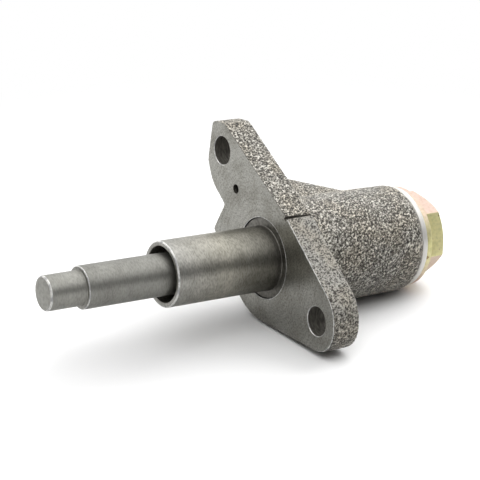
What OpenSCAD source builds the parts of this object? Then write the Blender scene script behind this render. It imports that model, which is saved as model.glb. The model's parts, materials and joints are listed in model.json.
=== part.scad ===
// Hydraulic timing chain tensioner: a cast housing with a two-hole flange, a steel guide sleeve,
// a sprung plunger, a ball check valve and a hexagon plug that closes the rear.
// Millimetres. The plunger's axis is X and its tip points along +X. The mounting face is x = 0.
// Places across the face are given as y and z, and angles turn from +Y towards +Z.

/* [Flange] */
// Thickness of the flange
flange_t = 9.6; // [7:0.1:14]
// Diameter of the two mounting holes
bolt_hole_d = 9; // [6.6:0.1:10.5]
// Upper mounting hole, sideways from the plunger's axis
upper_hole_y = -22.4; // [-28:0.1:-18]
// Upper mounting hole, above the plunger's axis
upper_hole_z = 29.9; // [27:0.1:36]
// Lower mounting hole, sideways from the plunger's axis
lower_hole_y = 28.3; // [25:0.1:34]
// Lower mounting hole, below the plunger's axis
lower_hole_z = -13.3; // [-18:0.1:-9]
// Metal from the upper hole's centre to the top edge
upper_lobe = 8.8; // [7.5:0.1:12]
// Metal from the lower hole's centre to the side and bottom edges
lower_lobe = 9.4; // [7.5:0.1:12]
// Distance from the plunger's axis to the flange's long edges
edge_reach = 19.6; // [18.5:0.1:24]
// Distance from the plunger's axis to the pointed ear
ear_reach = 27.6; // [25:0.1:32]
// Width of the witness notch in the long edge
notch_w = 0.8; // [0.4:0.1:1.5]
// Depth of the witness notch
notch_depth = 0.9; // [0.4:0.1:1.5]

/* [Housing barrel] */
// Diameter of the barrel where it leaves the flange
barrel_d = 34.4; // [31:0.1:37]
// How much the barrel's diameter falls towards the rear
barrel_draft = 0.6; // [0:0.1:2]
// Rounding of the barrel's rear edge
barrel_edge_r = 1.4; // [0.5:0.1:2]
// Fillet between the barrel and the flange
root_fillet_r = 2.2; // [0.5:0.1:3]
// Diameter of the cast boss over the oil drilling
oil_boss_d = 12.8; // [10:0.1:15]

/* [Oil feed] */
// Oil hole in the face, sideways from the plunger's axis
oil_hole_y = -14.6; // [-16:0.1:-12]
// Oil hole in the face, above the plunger's axis
oil_hole_z = 19; // [17:0.1:21]
// Diameter of the oil hole in the face
oil_hole_d = 3; // [2.4:0.1:4]
// Depth of the oil hole
oil_hole_depth = 6; // [4:0.1:8]
// How much narrower the slanted drilling is than the oil hole
drill_step = 0.4; // [0.2:0.1:0.8]

/* [Guide sleeve] */
// Outer diameter of the sleeve
sleeve_d = 20; // [19.5:0.1:21]
// Bore of the sleeve
sleeve_bore_d = 16.9; // [16:0.1:17.5]
// How far the sleeve stands out of the face
sleeve_out = 36; // [30:0.5:45]
// Diameter of the sleeve's collar
collar_d = 24.8; // [23.5:0.1:27]
// Thickness of the collar
collar_t = 2.8; // [2:0.1:4]
// How far the collar lies below the face
collar_recess = 0.4; // [0.3:0.1:1]

/* [Plunger] */
// Diameter of the plunger's rod
rod_d = 12.8; // [11.5:0.1:13.5]
// Bare rod beyond the sleeve's mouth
rod_out = 27.4; // [25:0.1:40]
// Diameter of the tip
tip_d = 10.4; // [8:0.1:11.4]
// Length of the tip
tip_len = 11.6; // [6:0.1:18]
// Length of the plunger's guided head
head_len = 20; // [14:0.5:26]
// Inward travel of the plunger from the stop
plunger_travel = 24; // [15:0.5:25]
// Diameter of the spring's bore in the plunger
spring_bore_d = 10; // [9:0.1:10.4]
// Depth of the spring's bore in the plunger
spring_bore_len = 44; // [38:0.5:52]

/* [Stop ring] */
// Thickness of the ring
ring_t = 1.2; // [0.8:0.1:2]
// Inner diameter of the ring
ring_id = 14.4; // [13.8:0.1:15]
// How deep the ring lies behind the sleeve's mouth
ring_depth = 18.8; // [14:0.1:24]
// How far the ring sits in the sleeve's groove
ring_bite = 0.5; // [0.3:0.05:0.7]
// Opening between the ring's ends
ring_gap = 4; // [2:0.5:7]

/* [Main spring] */
// Wire diameter of the main spring
spring_wire = 1.2; // [0.8:0.05:1.4]
// Turns of the main spring
spring_turns = 22; // [15:1:24]

/* [Check valve] */
// Diameter of the check ball
ball_d = 4; // [3.2:0.1:4.6]
// Lift of the check ball
ball_lift = 0.8; // [0.4:0.1:1.2]
// Diameter of the hole that the ball closes
seat_hole_d = 2.8; // [2:0.1:3]
// Thickness of the seat's flange
seat_t = 3; // [2:0.1:5]
// Length of the seat's spigot in the sleeve
seat_spigot = 2; // [1.4:0.1:4]
// Sheet thickness of the ball's cage
cage_t = 0.6; // [0.4:0.05:0.8]
// Diameter of the cage's flange
cage_flange_d = 15.2; // [13:0.1:16]
// Wire diameter of the ball's spring
ball_wire = 0.3; // [0.2:0.05:0.4]
// Turns of the ball's spring
ball_turns = 4; // [3:1:5]
// Spare travel of the ball's spring at full lift
ball_spring_slack = 1.1; // [0.6:0.1:2]

/* [Rear plug] */
// Diameter of the plug's thread
thread_d = 24; // [23:0.1:26]
// Length of thread in the housing
thread_len = 8; // [6:0.5:14]
// Length of the oil chamber in front of the thread
chamber_len = 7; // [5:0.5:10]
// Outer diameter of the plug's nose
nose_d = 18; // [16.5:0.1:18.8]
// Bore of the plug's nose
nose_bore_d = 12; // [8:0.1:14]
// Diameter of the oil ports across the nose
nose_port_d = 3; // [2:0.1:4]
// Size of the hexagon across its flats
hex_af = 24; // [21:0.5:26]
// Length of the hexagon
hex_len = 8; // [6:0.5:14]
// Angle of the hexagon's first corner
hex_angle = 40.5; // [0:0.5:60]
// Diameter of the plug's collar
plug_collar_d = 32; // [29.5:0.1:33]
// Thickness of the plug's collar
plug_collar_t = 2; // [1.2:0.1:4]
// Thickness of the sealing washer
washer_t = 2; // [1:0.1:3]

/* [Clearances] */
// Radial running clearance of the plunger's head
running_fit = 0.04; // [0.02:0.01:0.08]
// Radial clearance of pieces that are pressed together
press_gap = 0.02; // [0.01:0.01:0.05]
// Radial clearance of the collar in its counterbore
collar_gap = 0.2; // [0.1:0.05:0.4]
// Radial clearance of the thread and of the washer on it
thread_gap = 0.1; // [0.05:0.05:0.3]
// How far the washer's rim stands out past the plug's collar
washer_lip = 0.2; // [0:0.05:0.8]
// Gap between the plunger at full inward travel and the valve
bottom_gap = 0.4; // [0.2:0.1:1]
// Radial clearance of the main spring in the plunger
spring_gap = 0.3; // [0.15:0.05:0.5]
// Radial clearance of the ball in its cage
ball_gap = 0.35; // [0.2:0.05:0.5]
// Clearance between parts that touch without pressing
touch_gap = 0.05; // [0.02:0.01:0.1]

/* [Hidden] */

// Small machined edges
edge_break = 0.5;
tip_round = 0.9;
sleeve_root_r = 0.3;
// Step between the valve seat and the wider oil chamber
chamber_step = 1;
// How far the boss's axis dips below the oil hole, and how far its rear end clears the sleeve
boss_dip = 1.7;
// Angle by which each flank of the boss flares towards the barrel
boss_flare = 28;
// Cuts reach this far past the faces that they open
overshoot = 1;
// Degrees between the points of an arc
arc_step = 4;

// Stations along the axis, from the tip to the rear
shoulder_x = sleeve_out + rod_out;
tip_x = shoulder_x + tip_len;
ring_rear_x = sleeve_out - ring_depth - ring_t;
head_rear_x = ring_rear_x - head_len;
spring_front_x = head_rear_x + spring_bore_len;
cage_front_x = head_rear_x - plunger_travel - bottom_gap;
seat_front_x = cage_front_x - cage_t;
sleeve_rear_x = seat_front_x - seat_spigot;
seat_rear_x = sleeve_rear_x - seat_t;
chamber_front_x = seat_rear_x - chamber_step;
thread_front_x = chamber_front_x - chamber_len;
barrel_rear_x = thread_front_x - thread_len;
washer_rear_x = barrel_rear_x - washer_t;
hex_front_x = washer_rear_x - plug_collar_t;
plug_rear_x = hex_front_x - hex_len;
counterbore_depth = collar_recess + collar_t;

// Radii
sleeve_r = sleeve_d / 2;
sleeve_bore_r = sleeve_bore_d / 2;
head_r = sleeve_bore_r - running_fit;
barrel_r = barrel_d / 2;
barrel_rear_r = barrel_r - barrel_draft / 2;
groove_r = sleeve_bore_r + ring_bite + touch_gap;
washer_r = plug_collar_d / 2 + washer_lip;
ball_r = ball_d / 2;
cage_bore_r = ball_r + ball_gap;
spring_r = spring_bore_d / 2 - spring_gap - spring_wire / 2;

// The ball stands proud of the seat by a part of its radius. In a 45 degree seat its centre lies
// the root of two times its radius from the cone's point.
ball_proud = ball_r * 0.4;
seat_cone_point_x = seat_front_x + ball_proud - ball_r * sqrt(2);
ball_x = seat_cone_point_x + (ball_r + touch_gap) * sqrt(2);
ball_coil_r = ball_r * 0.7;
ball_spring_len = ball_wire * (ball_turns + 1) + ball_lift + ball_spring_slack;
ball_spring_x = ball_x + sqrt(pow(ball_r + ball_wire / 2 + touch_gap, 2) - pow(ball_coil_r, 2));
cage_top_x = ball_spring_x + ball_spring_len + ball_wire / 2 + touch_gap;

// Places across the face
upper_hole = [upper_hole_y, upper_hole_z];
lower_hole = [lower_hole_y, lower_hole_z];
oil_hole = [oil_hole_y, oil_hole_z];
oil_angle = atan2(oil_hole_z, oil_hole_y);
oil_reach = norm(oil_hole);
// The slanted drilling runs from the foot of the oil hole into the oil chamber, as [x, radius]
drill_d = oil_hole_d - drill_step;
drill_start = [drill_d / 3 - oil_hole_depth, oil_reach];
drill_end = [chamber_front_x - chamber_len / 2, thread_d / 2 - drill_d / 2];

function polar(r, a) = r * [cos(a), sin(a)];
function unit(v) = v / norm(v);
function heading(v) = atan2(v[1], v[0]);
function short_turn(a) = (a + 540) % 360 - 180;
function arc(centre, r, from, turn) =
    let (steps = max(2, ceil(abs(turn) / arc_step)))
    [for (i = [0 : steps]) centre + polar(r, from + turn * i / steps)];

// Arc of radius r that rounds the corner p between its neighbours a and b
function round_corner(a, p, b, r) =
    let (u = unit(a - p),
         v = unit(b - p),
         half = acos(u * v) / 2,
         centre = p + unit(u + v) * r / sin(half),
         start = p + u * r / tan(half) - centre,
         end = p + v * r / tan(half) - centre)
    arc(centre, r, heading(start), short_turn(heading(end) - heading(start)));

// Polygon through corners given as [place, rounding]
function rounded(corners) =
    let (n = len(corners))
    [for (i = [0 : n - 1])
        let (before = corners[(i + n - 1) % n], here = corners[i], after = corners[(i + 1) % n])
        each round_corner(before[0], here[0], after[0], here[1])];

// Corners of the flange as [place, rounding], clockwise from the upper left: the upper lobe's top,
// the bend of the long edge, the lower lobe, the foot under the barrel, the ear, the hollow above it
// and the upper lobe's left side. Each follows the hole or the reach that it surrounds.
bend_angle = 50;
foot_angle = 244.5;
ear_angle = 171.3;
hollow_angle = 148.2;
flange_corners = [
    [upper_hole + upper_lobe * [-0.6, 1], upper_lobe * 0.2],
    [upper_hole + upper_lobe * [0.15, 1], upper_lobe * 0.45],
    [polar(edge_reach, bend_angle), edge_reach * 0.08],
    [lower_hole + lower_lobe * [0.95, 0.56], lower_lobe * 1.17],
    [lower_hole + lower_lobe * [0.84, -1.05], lower_lobe * 0.9],
    [polar(edge_reach * 1.09, foot_angle), edge_reach * 0.92],
    [polar(ear_reach, ear_angle), ear_reach * 0.03],
    [polar(ear_reach * 0.895, hollow_angle), ear_reach * 0.02],
    [upper_hole + upper_lobe * [-0.63, -1.24], upper_lobe * 1.36],
    [upper_hole + upper_lobe * [-0.92, -0.47], upper_lobe * 0.23]
];

// Turns the drawing so that its X, Y and Z become Y, Z and X
module along_axis() { rotate([90, 0, 90]) children(); }

// Solid of revolution about the plunger's axis, from points given as [radius, x]
module turned(profile) { along_axis() rotate_extrude($fn = 128) polygon(profile); }

// Round bar or hole along the axis, from one station to another
module bar(r, from, to, place = [0, 0]) {
    translate([from, place[0], place[1]])
        rotate([0, 90, 0]) cylinder(r = r, h = to - from, $fn = 64);
}

// Turns a drawing along Z so that it runs between two points in the plane of the axis and the oil hole,
// given as [x, radius]. The drawing's X then points outwards.
module slanted(from, to) {
    rotate([oil_angle - 90, 0, 0])
        translate([from[0], 0, from[1]])
            rotate([0, 90 - heading(to - from), 0]) children();
}

// Coil with one flat turn at each end
module coil(r, wire, turns, from, to) {
    sides = 6;
    per_turn = 14;
    rings = turns * per_turn;
    flat_pitch = wire * 1.05;
    open_pitch = (to - from - 2 * flat_pitch) / (turns - 2);
    function lead(t) = t < 1 ? flat_pitch * t
        : t > turns - 1 ? to - from - flat_pitch * (turns - t)
        : flat_pitch + open_pitch * (t - 1);
    points = [
        for (i = [0 : rings])
            for (k = [0 : sides - 1])
                let (t = i / per_turn,
                     w = polar(wire / 2, 360 * k / sides),
                     p = polar(r + w[0], 360 * t))
                [p[0], p[1], from + lead(t) + w[1]]
    ];
    walls = [
        for (i = [0 : rings - 1])
            for (k = [0 : sides - 1])
                let (next = (k + 1) % sides)
                [i * sides + k, (i + 1) * sides + k, (i + 1) * sides + next, i * sides + next]
    ];
    start_cap = [for (k = [0 : sides - 1]) k];
    end_cap = [for (k = [sides - 1 : -1 : 0]) rings * sides + k];
    along_axis() polyhedron(points, concat(walls, [start_cap, end_cap]));
}

// Cast flange and barrel before any machining
module casting() {
    fillet = min(root_fillet_r, edge_reach - barrel_r - edge_break / 4);
    translate([-flange_t, 0, 0]) along_axis() linear_extrude(flange_t) polygon(rounded(flange_corners));
    turned(concat(
        [[0, barrel_rear_x], [0, -flange_t / 2], [barrel_r + fillet, -flange_t / 2]],
        arc([barrel_r + fillet, -flange_t - fillet], fillet, 90, 90),
        arc([barrel_rear_r - barrel_edge_r, barrel_rear_x + barrel_edge_r], barrel_edge_r, 0, -90)));
    oil_boss();
}

// Boss over the oil drilling, with a round crest and flanks that flare into the barrel
module oil_boss() {
    crest_r = oil_boss_d / 2;
    front = [-flange_t / 2, oil_reach - boss_dip];
    rear = [chamber_front_x, sleeve_r + boss_dip];
    foot = [-oil_boss_d, crest_r / cos(boss_flare) + oil_boss_d * tan(boss_flare)];
    section = concat(
        arc([0, 0], crest_r, boss_flare - 90, 180 - 2 * boss_flare),
        [foot, [foot[0], -foot[1]]]);
    slanted(front, rear) linear_extrude(norm(rear - front)) polygon(section);
}

module housing() {
    color("dimgray") difference() {
        casting();
        for (place = [upper_hole, lower_hole])
            bar(bolt_hole_d / 2, -flange_t - overshoot, overshoot, place);
        bar(collar_d / 2 + collar_gap, -counterbore_depth, overshoot);
        bar(sleeve_r + press_gap, chamber_front_x - overshoot, 0);
        bar(thread_d / 2, barrel_rear_x - overshoot, chamber_front_x);
        bar(oil_hole_d / 2, -oil_hole_depth, overshoot, oil_hole);
        slanted(drill_start, drill_end)
            cylinder(d = drill_d, h = norm(drill_end - drill_start), $fn = 48);
        witness_notch();
    }
}

// Narrow cut across the bend of the long edge
module witness_notch() {
    notch_len = flange_t - notch_w;
    rotate([bend_angle, 0, 0])
        translate([-notch_len, edge_reach - notch_depth, -notch_w / 2])
            cube([notch_len + overshoot, notch_depth + overshoot, notch_w]);
}

module guide_sleeve() {
    collar_r = collar_d / 2;
    collar_front_x = -collar_recess;
    collar_rear_x = -counterbore_depth;
    groove_front_x = sleeve_out - ring_depth + touch_gap;
    groove_rear_x = ring_rear_x - touch_gap;
    color("lightslategray") turned(concat(
        [[sleeve_bore_r, sleeve_rear_x], [sleeve_r - edge_break, sleeve_rear_x],
         [sleeve_r, sleeve_rear_x + edge_break], [sleeve_r, collar_rear_x], [collar_r, collar_rear_x],
         [collar_r, collar_front_x - edge_break / 2], [collar_r - edge_break / 2, collar_front_x]],
        arc([sleeve_r + sleeve_root_r, collar_front_x + sleeve_root_r], sleeve_root_r, -90, -90),
        [[sleeve_r, sleeve_out - edge_break], [sleeve_r - edge_break, sleeve_out],
         [sleeve_bore_r + edge_break, sleeve_out], [sleeve_bore_r, sleeve_out - edge_break],
         [sleeve_bore_r, groove_front_x], [groove_r, groove_front_x],
         [groove_r, groove_rear_x], [sleeve_bore_r, groove_rear_x]]));
}

module stop_ring() {
    ring_r = sleeve_bore_r + ring_bite;
    color("silver") difference() {
        bar(ring_r, ring_rear_x, ring_rear_x + ring_t);
        bar(ring_id / 2, ring_rear_x - overshoot, ring_rear_x + ring_t + overshoot);
        translate([ring_rear_x - overshoot, -ring_gap / 2, -ring_r - overshoot])
            cube([ring_t + 2 * overshoot, ring_gap, ring_r]);
    }
}

module plunger() {
    rod_r = rod_d / 2;
    tip_r = tip_d / 2;
    bore_r = spring_bore_d / 2;
    color("gray") turned(concat(
        [[0, tip_x]],
        arc([tip_r - tip_round, tip_x - tip_round], tip_round, 90, -90),
        [[tip_r, shoulder_x], [rod_r - edge_break, shoulder_x], [rod_r, shoulder_x - edge_break],
         [rod_r, ring_rear_x], [head_r - edge_break, ring_rear_x], [head_r, ring_rear_x - edge_break],
         [head_r, head_rear_x + edge_break], [head_r - edge_break, head_rear_x],
         [bore_r + edge_break, head_rear_x], [bore_r, head_rear_x + edge_break],
         [bore_r, spring_front_x], [0, spring_front_x]]));
}

module main_spring() {
    inset = spring_wire / 2 + touch_gap;
    color("silver") coil(spring_r, spring_wire, spring_turns, cage_front_x + inset, spring_front_x - inset);
}

module valve_seat() {
    spigot_r = sleeve_bore_r - press_gap;
    flange_r = sleeve_r;
    hole_r = seat_hole_d / 2;
    mouth_r = seat_front_x - seat_cone_point_x;
    color("slategray") turned([
        [hole_r, seat_rear_x], [flange_r - edge_break, seat_rear_x], [flange_r, seat_rear_x + edge_break],
        [flange_r, sleeve_rear_x], [spigot_r, sleeve_rear_x], [spigot_r, seat_front_x],
        [mouth_r, seat_front_x], [hole_r, seat_cone_point_x + hole_r]]);
}

module check_ball() {
    color("white") translate([ball_x, 0, 0]) sphere(r = ball_r, $fn = 64);
}

module ball_spring() {
    front_x = ball_spring_x + ball_spring_len;
    color("silver") coil(ball_coil_r, ball_wire, ball_turns, ball_spring_x, front_x);
}

// Pressed sheet cap with three windows and a hole in its top
module ball_cage() {
    flange_r = cage_flange_d / 2;
    wall_r = cage_bore_r + cage_t;
    vent_r = ball_coil_r * 0.6;
    top_x = cage_top_x + cage_t;
    window_w = cage_bore_r * 0.8;
    window_front_x = cage_top_x - cage_t;
    color("darkkhaki") difference() {
        turned([
            [cage_bore_r, seat_front_x], [flange_r, seat_front_x], [flange_r, cage_front_x],
            [wall_r, cage_front_x], [wall_r, top_x], [vent_r, top_x],
            [vent_r, cage_top_x], [cage_bore_r, cage_top_x]]);
        for (i = [0 : 2])
            rotate([120 * i, 0, 0]) translate([cage_front_x + cage_t, -window_w / 2, 0])
                cube([window_front_x - cage_front_x - cage_t, window_w, wall_r + overshoot]);
    }
}

module rear_plug() {
    nose_r = nose_d / 2;
    shank_r = thread_d / 2 - thread_gap;
    collar_r = plug_collar_d / 2;
    corner_r = hex_af / sqrt(3);
    hex_chamfer = (corner_r - hex_af / 2 + edge_break) / sqrt(3);
    port_x = (chamber_front_x + thread_front_x) / 2;
    color("darkkhaki") union() {
        difference() {
            turned([
                [0, hex_front_x], [collar_r - edge_break, hex_front_x],
                [collar_r, hex_front_x + edge_break], [collar_r, washer_rear_x], [shank_r, washer_rear_x],
                [shank_r, thread_front_x - edge_break], [shank_r - edge_break, thread_front_x],
                [nose_r, thread_front_x], [nose_r, seat_rear_x], [nose_bore_d / 2, seat_rear_x],
                [nose_bore_d / 2, thread_front_x], [0, thread_front_x]]);
            for (angle = [0, 90])
                rotate([angle, 0, 0]) translate([port_x, 0, -nose_r - overshoot])
                    cylinder(d = nose_port_d, h = nose_d + 2 * overshoot, $fn = 48);
        }
        intersection() {
            translate([plug_rear_x, 0, 0]) along_axis()
                linear_extrude(hex_len + plug_collar_t / 2) rotate(hex_angle) circle(r = corner_r, $fn = 6);
            turned([
                [0, plug_rear_x], [hex_af / 2 - edge_break, plug_rear_x],
                [corner_r, plug_rear_x + hex_chamfer],
                [corner_r + overshoot, plug_rear_x + hex_chamfer],
                [corner_r + overshoot, washer_rear_x], [0, washer_rear_x]]);
        }
    }
}

module sealing_washer() {
    color("gainsboro") difference() {
        bar(washer_r, washer_rear_x, barrel_rear_x);
        bar(thread_d / 2 + thread_gap, washer_rear_x - overshoot, barrel_rear_x + overshoot);
    }
}

housing();
guide_sleeve();
stop_ring();
plunger();
main_spring();
valve_seat();
check_ball();
ball_spring();
ball_cage();
rear_plug();
sealing_washer();
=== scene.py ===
# %% [markdown]
# # A timing chain tensioner
# This lesson dresses a small hydraulic tensioner: a rough iron casting that carries bright turned parts.
# The sizes are settled already. They arrive as a frame of solids, and every piece made here sits where
# its solid sits. The frame could be shown as it is, but its edges are perfectly crisp and its iron has
# no skin, so each piece that shows is made again with soft edges and a finish of its own.

# %% Load the frame
import json
import math

import bmesh
import bpy
from mathutils import Matrix, Vector, noise


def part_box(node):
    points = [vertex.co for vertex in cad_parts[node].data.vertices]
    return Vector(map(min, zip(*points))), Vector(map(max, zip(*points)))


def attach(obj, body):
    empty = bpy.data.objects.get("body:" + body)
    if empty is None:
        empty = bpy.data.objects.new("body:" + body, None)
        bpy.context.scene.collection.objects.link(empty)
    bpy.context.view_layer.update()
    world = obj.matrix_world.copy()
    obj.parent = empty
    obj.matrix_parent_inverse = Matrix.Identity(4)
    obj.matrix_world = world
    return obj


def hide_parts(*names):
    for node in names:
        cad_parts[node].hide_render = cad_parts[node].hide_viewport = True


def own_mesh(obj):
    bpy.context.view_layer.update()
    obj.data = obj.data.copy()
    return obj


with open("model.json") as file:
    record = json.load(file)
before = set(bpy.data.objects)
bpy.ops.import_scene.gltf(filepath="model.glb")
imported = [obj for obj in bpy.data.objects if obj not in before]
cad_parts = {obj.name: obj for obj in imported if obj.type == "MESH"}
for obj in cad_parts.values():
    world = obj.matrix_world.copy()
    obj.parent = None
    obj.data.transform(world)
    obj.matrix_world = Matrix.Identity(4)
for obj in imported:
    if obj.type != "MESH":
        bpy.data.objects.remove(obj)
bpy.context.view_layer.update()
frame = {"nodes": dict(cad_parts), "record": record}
mm = 0.001
scene = bpy.context.scene
scene.view_settings.view_transform = "Standard"
print("pieces in the frame:", ", ".join(sorted(frame["nodes"])))

# %% [markdown]
# ## The camera
# The tensioner is seen with its plunger towards the lower left, from a little above. A wide lens close by
# would make the plunger's tip too large, so this is a long lens about half a metre away. Its place is
# given outright, and its direction as a turn from the plunger's axis and a rise above the horizon.

# %% Place the camera
image_width = 480
focal_length_pixels = 1755.3
camera_place = Vector((293.4, 429.3, 130.2)) * mm
camera_turn = math.radians(56.4)
camera_rise = math.radians(13.47)


def direction(turn, rise):
    """Unit vector at a turn from +X towards +Y and a rise above the horizon, both in radians."""
    flat = math.cos(rise)
    return Vector((flat * math.cos(turn), flat * math.sin(turn), math.sin(rise)))


lens = bpy.data.cameras.new("camera")
lens.sensor_width = 36
lens.lens = lens.sensor_width * focal_length_pixels / image_width
camera = bpy.data.objects.new("camera", lens)
camera.location = camera_place
camera.rotation_euler = direction(camera_turn, camera_rise).to_track_quat("Z", "Y").to_euler()
scene.collection.objects.link(camera)
scene.camera = camera
print(f"lens of {lens.lens:.1f} mm, {camera_place.length / mm:.0f} mm from the face")

# %% [markdown]
# ## Where it lies
# Loose on a table, the tensioner rests on the lower edge of its flange and on the rear of its barrel, so
# the table isn't square to the plunger. It could be tilted by eye. Here the answer is measured instead:
# the convex hull is the shape of a cloth pulled tight round the part, and the part lies on the facet of
# that hull which is straight below its balance point.

# %% Find the table under the part
balance_point = Vector((-18, 0, 0)) * mm
facing_down = -0.5


def resting_plane():
    """A point and the upward normal of the hull's facet below the balance point."""
    hull = bmesh.new()
    for node in frame["nodes"].values():
        for vertex in node.data.vertices:
            hull.verts.new(vertex.co)
    shell = bmesh.ops.convex_hull(hull, input=hull.verts)
    facets = [f for f in shell["geom"] if isinstance(f, bmesh.types.BMFace) and f.normal.z < facing_down]
    for facet in facets:
        if bmesh.geometry.intersect_face_point(facet, balance_point):
            return facet.calc_center_median(), -facet.normal.copy()
    raise ValueError("no facet below the balance point")


table_point, table_up = resting_plane()
print("the table leans by", round(math.degrees(table_up.angle(Vector((0, 0, 1)))), 1), "degrees")

# %% [markdown]
# ## Finishes from nodes
# Every finish below is a small tree of nodes. A helper that adds one node and fills its sockets in one
# call keeps each tree short enough to read from top to bottom.

# %% Helpers for finishes
def add_node(tree, kind, inputs, **settings):
    """Adds a node. A value in inputs is set on its socket, and a socket is linked to it."""
    node = tree.nodes.new(kind)
    for name, value in settings.items():
        setattr(node, name, value)
    for name, value in inputs.items():
        if isinstance(value, bpy.types.NodeSocket):
            tree.links.new(value, node.inputs[name])
        else:
            node.inputs[name].default_value = value
    return node


def start_finish(name, metallic, roughness):
    """A new material: its node tree, its shader, and the place of each point in the part's frame."""
    material = bpy.data.materials.new(name)
    material.use_nodes = True
    shader = material.node_tree.nodes["Principled BSDF"]
    shader.inputs["Metallic"].default_value = metallic
    shader.inputs["Roughness"].default_value = roughness
    place = add_node(material.node_tree, "ShaderNodeTexCoord", {}).outputs["Object"]
    return material, material.node_tree, shader, place


def speckle(tree, place, size, detail=2.0, stretch=(1, 1, 1)):
    """Noise with grains of about the given size in mm, longer along an axis where stretch is larger."""
    scale = [1 / (size * mm * s) for s in stretch]
    grains = add_node(tree, "ShaderNodeMapping", {"Vector": place, "Scale": scale}).outputs["Vector"]
    inputs = {"Vector": grains, "Scale": 1.0, "Detail": detail}
    return add_node(tree, "ShaderNodeTexNoise", inputs).outputs[0]


def ramp(tree, factor, stops):
    """Colour ramp through (position, colour) stops."""
    node = add_node(tree, "ShaderNodeValToRGB", {"Fac": factor})
    steps = node.color_ramp.elements
    while len(steps) < len(stops):
        steps.new(0.5)
    for step, (position, colour) in zip(steps, stops):
        step.position = position
        step.color = (*colour, 1)
    return node.outputs["Color"]


def grey(level):
    """A neutral colour."""
    return (level, level, level)


def blend(tree, factor, first, second, way="MIX"):
    """Mixes two colours."""
    node = add_node(tree, "ShaderNodeMix", {0: factor}, data_type="RGBA", blend_type=way)
    for socket, colour in ((node.inputs[6], first), (node.inputs[7], second)):
        if isinstance(colour, bpy.types.NodeSocket):
            tree.links.new(colour, socket)
        else:
            socket.default_value = (*colour, 1)
    return node.outputs[2]


def math_of(tree, operation, first, second):
    """One sum of two values or sockets."""
    return add_node(tree, "ShaderNodeMath", {0: first, 1: second}, operation=operation).outputs[0]


def remap(tree, value, spread, levels=(0.0, 1.0), smooth=False):
    """Maps a span of values onto a span of levels, and holds the levels beyond its ends."""
    inputs = {0: value, 1: spread[0], 2: spread[1], 3: levels[0], 4: levels[1]}
    bend = "SMOOTHSTEP" if smooth else "LINEAR"
    return add_node(tree, "ShaderNodeMapRange", inputs, interpolation_type=bend).outputs[0]


def seen_rays(tree):
    """1 for rays from the camera and for rays that metal or glass sends on, 0 for light that only falls."""
    path = add_node(tree, "ShaderNodeLightPath", {}).outputs
    mirrored = math_of(tree, "MAXIMUM", path["Is Glossy Ray"], path["Is Transmission Ray"])
    return math_of(tree, "MAXIMUM", path["Is Camera Ray"], mirrored)


def bump(tree, height, depth, strength=1.0, under=None):
    """Bump of a given depth in mm, on top of another bump if there is one."""
    inputs = {"Height": height, "Distance": depth * mm, "Strength": strength}
    if under is not None:
        inputs["Normal"] = under
    return add_node(tree, "ShaderNodeBump", inputs).outputs["Normal"]


def paint(tree, shader, colour, normal):
    """Links the colour and the bump of a finish to its shader."""
    tree.links.new(colour, shader.inputs["Base Color"])
    tree.links.new(normal, shader.inputs["Normal"])


print("helpers for finishes are ready")

# %% [markdown]
# ## Table
# The part lies on a white sweep. White could come from more light, but then the metal would burn out as
# well. Instead the table is nearly white, and it turns into a white glow away from the part, so that only
# the shadow is left of it. The camera and bright metal see the glow as plain white. What the table throws
# back at the part is weaker, or the undersides would lose their depth. From below the table is clear, so
# that it never hides the part.

# %% Table
table_size = 3.0
shadow_reach = 0.07
glow_reach = 0.26
table_white = 0.94
table_bounce = 0.54
table_glow = 0.66


def table_finish():
    """Matt white near the part, a white glow further out, and clear from below."""
    material, tree, shader, place = start_finish("white_sweep", 0.0, 0.8)
    shader.inputs["Specular IOR Level"].default_value = 0.1
    to_camera = add_node(tree, "ShaderNodeLightPath", {}).outputs["Is Camera Ray"]
    white = blend(tree, to_camera, grey(table_bounce), grey(table_white))
    tree.links.new(white, shader.inputs["Base Color"])
    distance = add_node(tree, "ShaderNodeVectorMath", {0: place}, operation="LENGTH").outputs["Value"]
    far = remap(tree, distance, (shadow_reach, glow_reach), smooth=True)
    level = remap(tree, seen_rays(tree), (0.0, 1.0), (table_glow, 1.0))
    glow = add_node(tree, "ShaderNodeEmission", {"Color": (1, 1, 1, 1), "Strength": level}).outputs[0]
    mixed = add_node(tree, "ShaderNodeMixShader", {0: far, 1: shader.outputs[0], 2: glow}).outputs[0]
    below = add_node(tree, "ShaderNodeNewGeometry", {}).outputs["Backfacing"]
    clear = add_node(tree, "ShaderNodeBsdfTransparent", {}).outputs[0]
    one_sided = add_node(tree, "ShaderNodeMixShader", {0: below, 1: mixed, 2: clear}).outputs[0]
    tree.links.new(one_sided, tree.nodes["Material Output"].inputs["Surface"])
    return material


def new_piece(name, mesh):
    """A new object in the scene for a mesh."""
    piece = bpy.data.objects.new(name, mesh)
    scene.collection.objects.link(piece)
    return piece


def mesh_piece(name, points, faces):
    """A new mesh object from points in metres."""
    mesh = bpy.data.meshes.new(name)
    mesh.from_pydata([tuple(p) for p in points], [], faces)
    mesh.update()
    return new_piece(name, mesh)


def table_sheet(centre, facing, size):
    """A square sheet that faces a direction."""
    corners = [(x * size / 2, y * size / 2, 0) for x, y in ((-1, -1), (1, -1), (1, 1), (-1, 1))]
    sheet = mesh_piece("table", corners, [(0, 1, 2, 3)])
    sheet.location = centre
    sheet.rotation_euler = facing.to_track_quat("Z", "Y").to_euler()
    sheet.data.materials.append(table_finish())
    return sheet


under_the_part = table_up * table_point.dot(table_up)
table_sheet(under_the_part, table_up, table_size)
print("table below the part at z =", round(under_the_part.z / mm, 1), "mm")

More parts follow.
